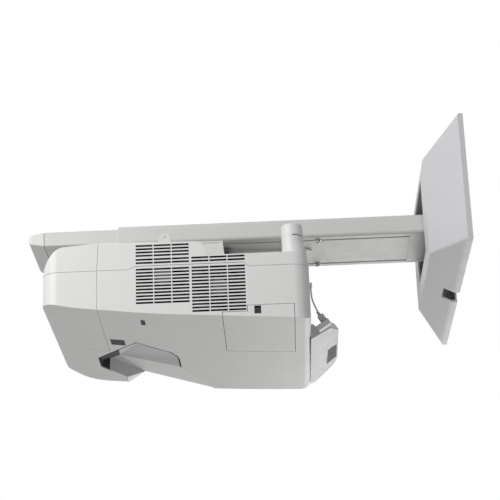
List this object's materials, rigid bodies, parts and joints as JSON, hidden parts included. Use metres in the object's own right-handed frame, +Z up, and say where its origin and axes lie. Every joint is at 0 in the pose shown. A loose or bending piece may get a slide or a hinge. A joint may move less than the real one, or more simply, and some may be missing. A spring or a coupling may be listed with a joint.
{
  "type": "projector wall mount",
  "caption": "Telescoping wall arm with a pyramid cover, sliding adjuster carriage and a short-throw projector hung upside down beneath it.",
  "frame": {"origin": "wall face of the wall plate, on the arm's centre line", "axes": "+X into the wall, the arm reaches out along -X; +Z up; the fan grilles face -Y"},
  "size_m": [0.707, 0.5108, 0.3095],
  "materials": {
    "arm_paint": "satin",
    "cap_plastic": "satin",
    "cover_plastic": "satin",
    "zinc_steel": "satin",
    "dark_steel": "satin",
    "bracket_paint": "satin",
    "case_plastic": "matt",
    "panel_plastic": "matt",
    "black_plastic": "matt",
    "dark_window": "gloss",
    "optic_glass": "gloss",
    "mirror_face": "polished",
    "liner_plastic": "matt",
    "engine_alloy": "rough",
    "board_green": "satin",
    "lamp_housing": "matt",
    "filter_foam": "rough",
    "fan_hub": "satin",
    "module_plastic": "satin",
    "plug_plastic": "satin",
    "lead_jacket": "satin"
  },
  "bodies": {
    "wall_side": {"wall_plate": "zinc_steel", "plate_cover": "cover_plastic", "cover_screws": "zinc_steel", "arm_root_bracket": "dark_steel", "root_bolts": "zinc_steel", "arm_bolts": "zinc_steel", "arm_tube": "arm_paint"},
    "extension": {"arm_extension": "arm_paint", "end_cap": "cap_plastic"},
    "carriage": {"clamp_bars": "zinc_steel", "lock_washers": "zinc_steel", "lock_screws": "zinc_steel", "slide_plate": "bracket_paint", "hanger_screws": "zinc_steel", "swivel_pin": "zinc_steel", "swivel_lock_screws": "zinc_steel"},
    "swivel": {"swivel_bracket": "dark_steel"},
    "ring": {"tilt_ring": "dark_steel", "roll_bolts": "zinc_steel", "pitch_bolts": "zinc_steel"},
    "projector": {"adapter_plate": "bracket_paint", "adapter_screws": "zinc_steel", "upper_shell": "case_plastic", "lower_shell": "case_plastic", "cable_cover": "panel_plastic", "end_panel": "panel_plastic", "recess_liner": "liner_plastic", "window_glass": "optic_glass", "sensor_window": "dark_window", "remote_receiver": "dark_window", "door_hinge_pin": "zinc_steel", "chassis": "zinc_steel", "case_screws": "zinc_steel", "main_board": "board_green", "power_board": "board_green", "optical_engine": "engine_alloy", "lens_barrel": "black_plastic", "mirror": "mirror_face", "mirror_bracket": "dark_steel", "lamp_unit": "lamp_housing", "air_filter": "filter_foam", "fan_frame_a": "black_plastic", "fan_frame_b": "black_plastic", "module_housing": "module_plastic", "module_window": "dark_window", "module_board": "board_green", "module_back": "bracket_paint", "module_socket": "black_plastic", "plug": "plug_plastic", "strain_relief": "plug_plastic", "lead": "lead_jacket", "grommet": "black_plastic"},
    "fan_a": {"fan_rotor_a": "fan_hub"},
    "fan_b": {"fan_rotor_b": "fan_hub"},
    "door": {"lamp_door": "panel_plastic"},
    "latch": {"door_latch": "black_plastic"},
    "foot_near": {"foot_stem_near": "black_plastic"},
    "foot_far": {"foot_stem_far": "black_plastic"},
    "cap_near": {"foot_cap_near": "panel_plastic"},
    "cap_far": {"foot_cap_far": "panel_plastic"}
  },
  "joints": [
    {"name": "extension_slide", "type": "slide", "parent": "wall_side", "child": "extension", "axis": [1, 0, 0], "range_m": [-0.06, 0.04]},
    {"name": "carriage_slide", "type": "slide", "parent": "wall_side", "child": "carriage", "axis": [1, 0, 0], "range_m": [-0.02, 0.1]},
    {"name": "yaw_adjust", "type": "hinge", "parent": "carriage", "child": "swivel", "pos_m": [-0.42, 0, -0.02], "axis": [0, 0, 1], "range_deg": [-5, 5]},
    {"name": "roll_adjust", "type": "hinge", "parent": "swivel", "child": "ring", "pos_m": [-0.42, 0, -0.032], "axis": [1, 0, 0], "range_deg": [-3, 3]},
    {"name": "pitch_adjust", "type": "hinge", "parent": "ring", "child": "projector", "pos_m": [-0.42, 0, -0.032], "axis": [0, 1, 0], "range_deg": [-3, 3]},
    {"name": "fan_a_spin", "type": "hinge", "parent": "projector", "child": "fan_a", "pos_m": [-0.4785, -0.16, -0.111], "axis": [0, 1, 0], "continuous": true},
    {"name": "fan_b_spin", "type": "hinge", "parent": "projector", "child": "fan_b", "pos_m": [-0.3915, -0.16, -0.132], "axis": [0, 1, 0], "continuous": true},
    {"name": "lamp_door_hinge", "type": "hinge", "parent": "projector", "child": "door", "pos_m": [-0.331, -0.024, -0.18625], "axis": [0.9986, 0, -0.0531], "range_deg": [0, 70]},
    {"name": "latch_slide", "type": "slide", "parent": "door", "child": "latch", "axis": [0, 0, 1], "range_m": [0, 0.003]},
    {"name": "foot_near_lift", "type": "slide", "parent": "projector", "child": "foot_near", "axis": [0, 0, 1], "range_m": [0, 0.01]},
    {"name": "foot_far_lift", "type": "slide", "parent": "projector", "child": "foot_far", "axis": [0, 0, 1], "range_m": [0, 0.01]},
    {"name": "foot_near_turn", "type": "hinge", "parent": "foot_near", "child": "cap_near", "pos_m": [-0.2735, -0.152, -0.04], "axis": [0, 0, 1], "range_deg": [0, 720]},
    {"name": "foot_far_turn", "type": "hinge", "parent": "foot_far", "child": "cap_far", "pos_m": [-0.2735, 0.152, -0.04], "axis": [0, 0, 1], "range_deg": [0, 720]}
  ],
  "couplings": [
    {"joint": "foot_near_turn", "follows": "foot_near_lift", "rad_per_m": 1256.6},
    {"joint": "foot_far_turn", "follows": "foot_far_lift", "rad_per_m": 1256.6}
  ]
}
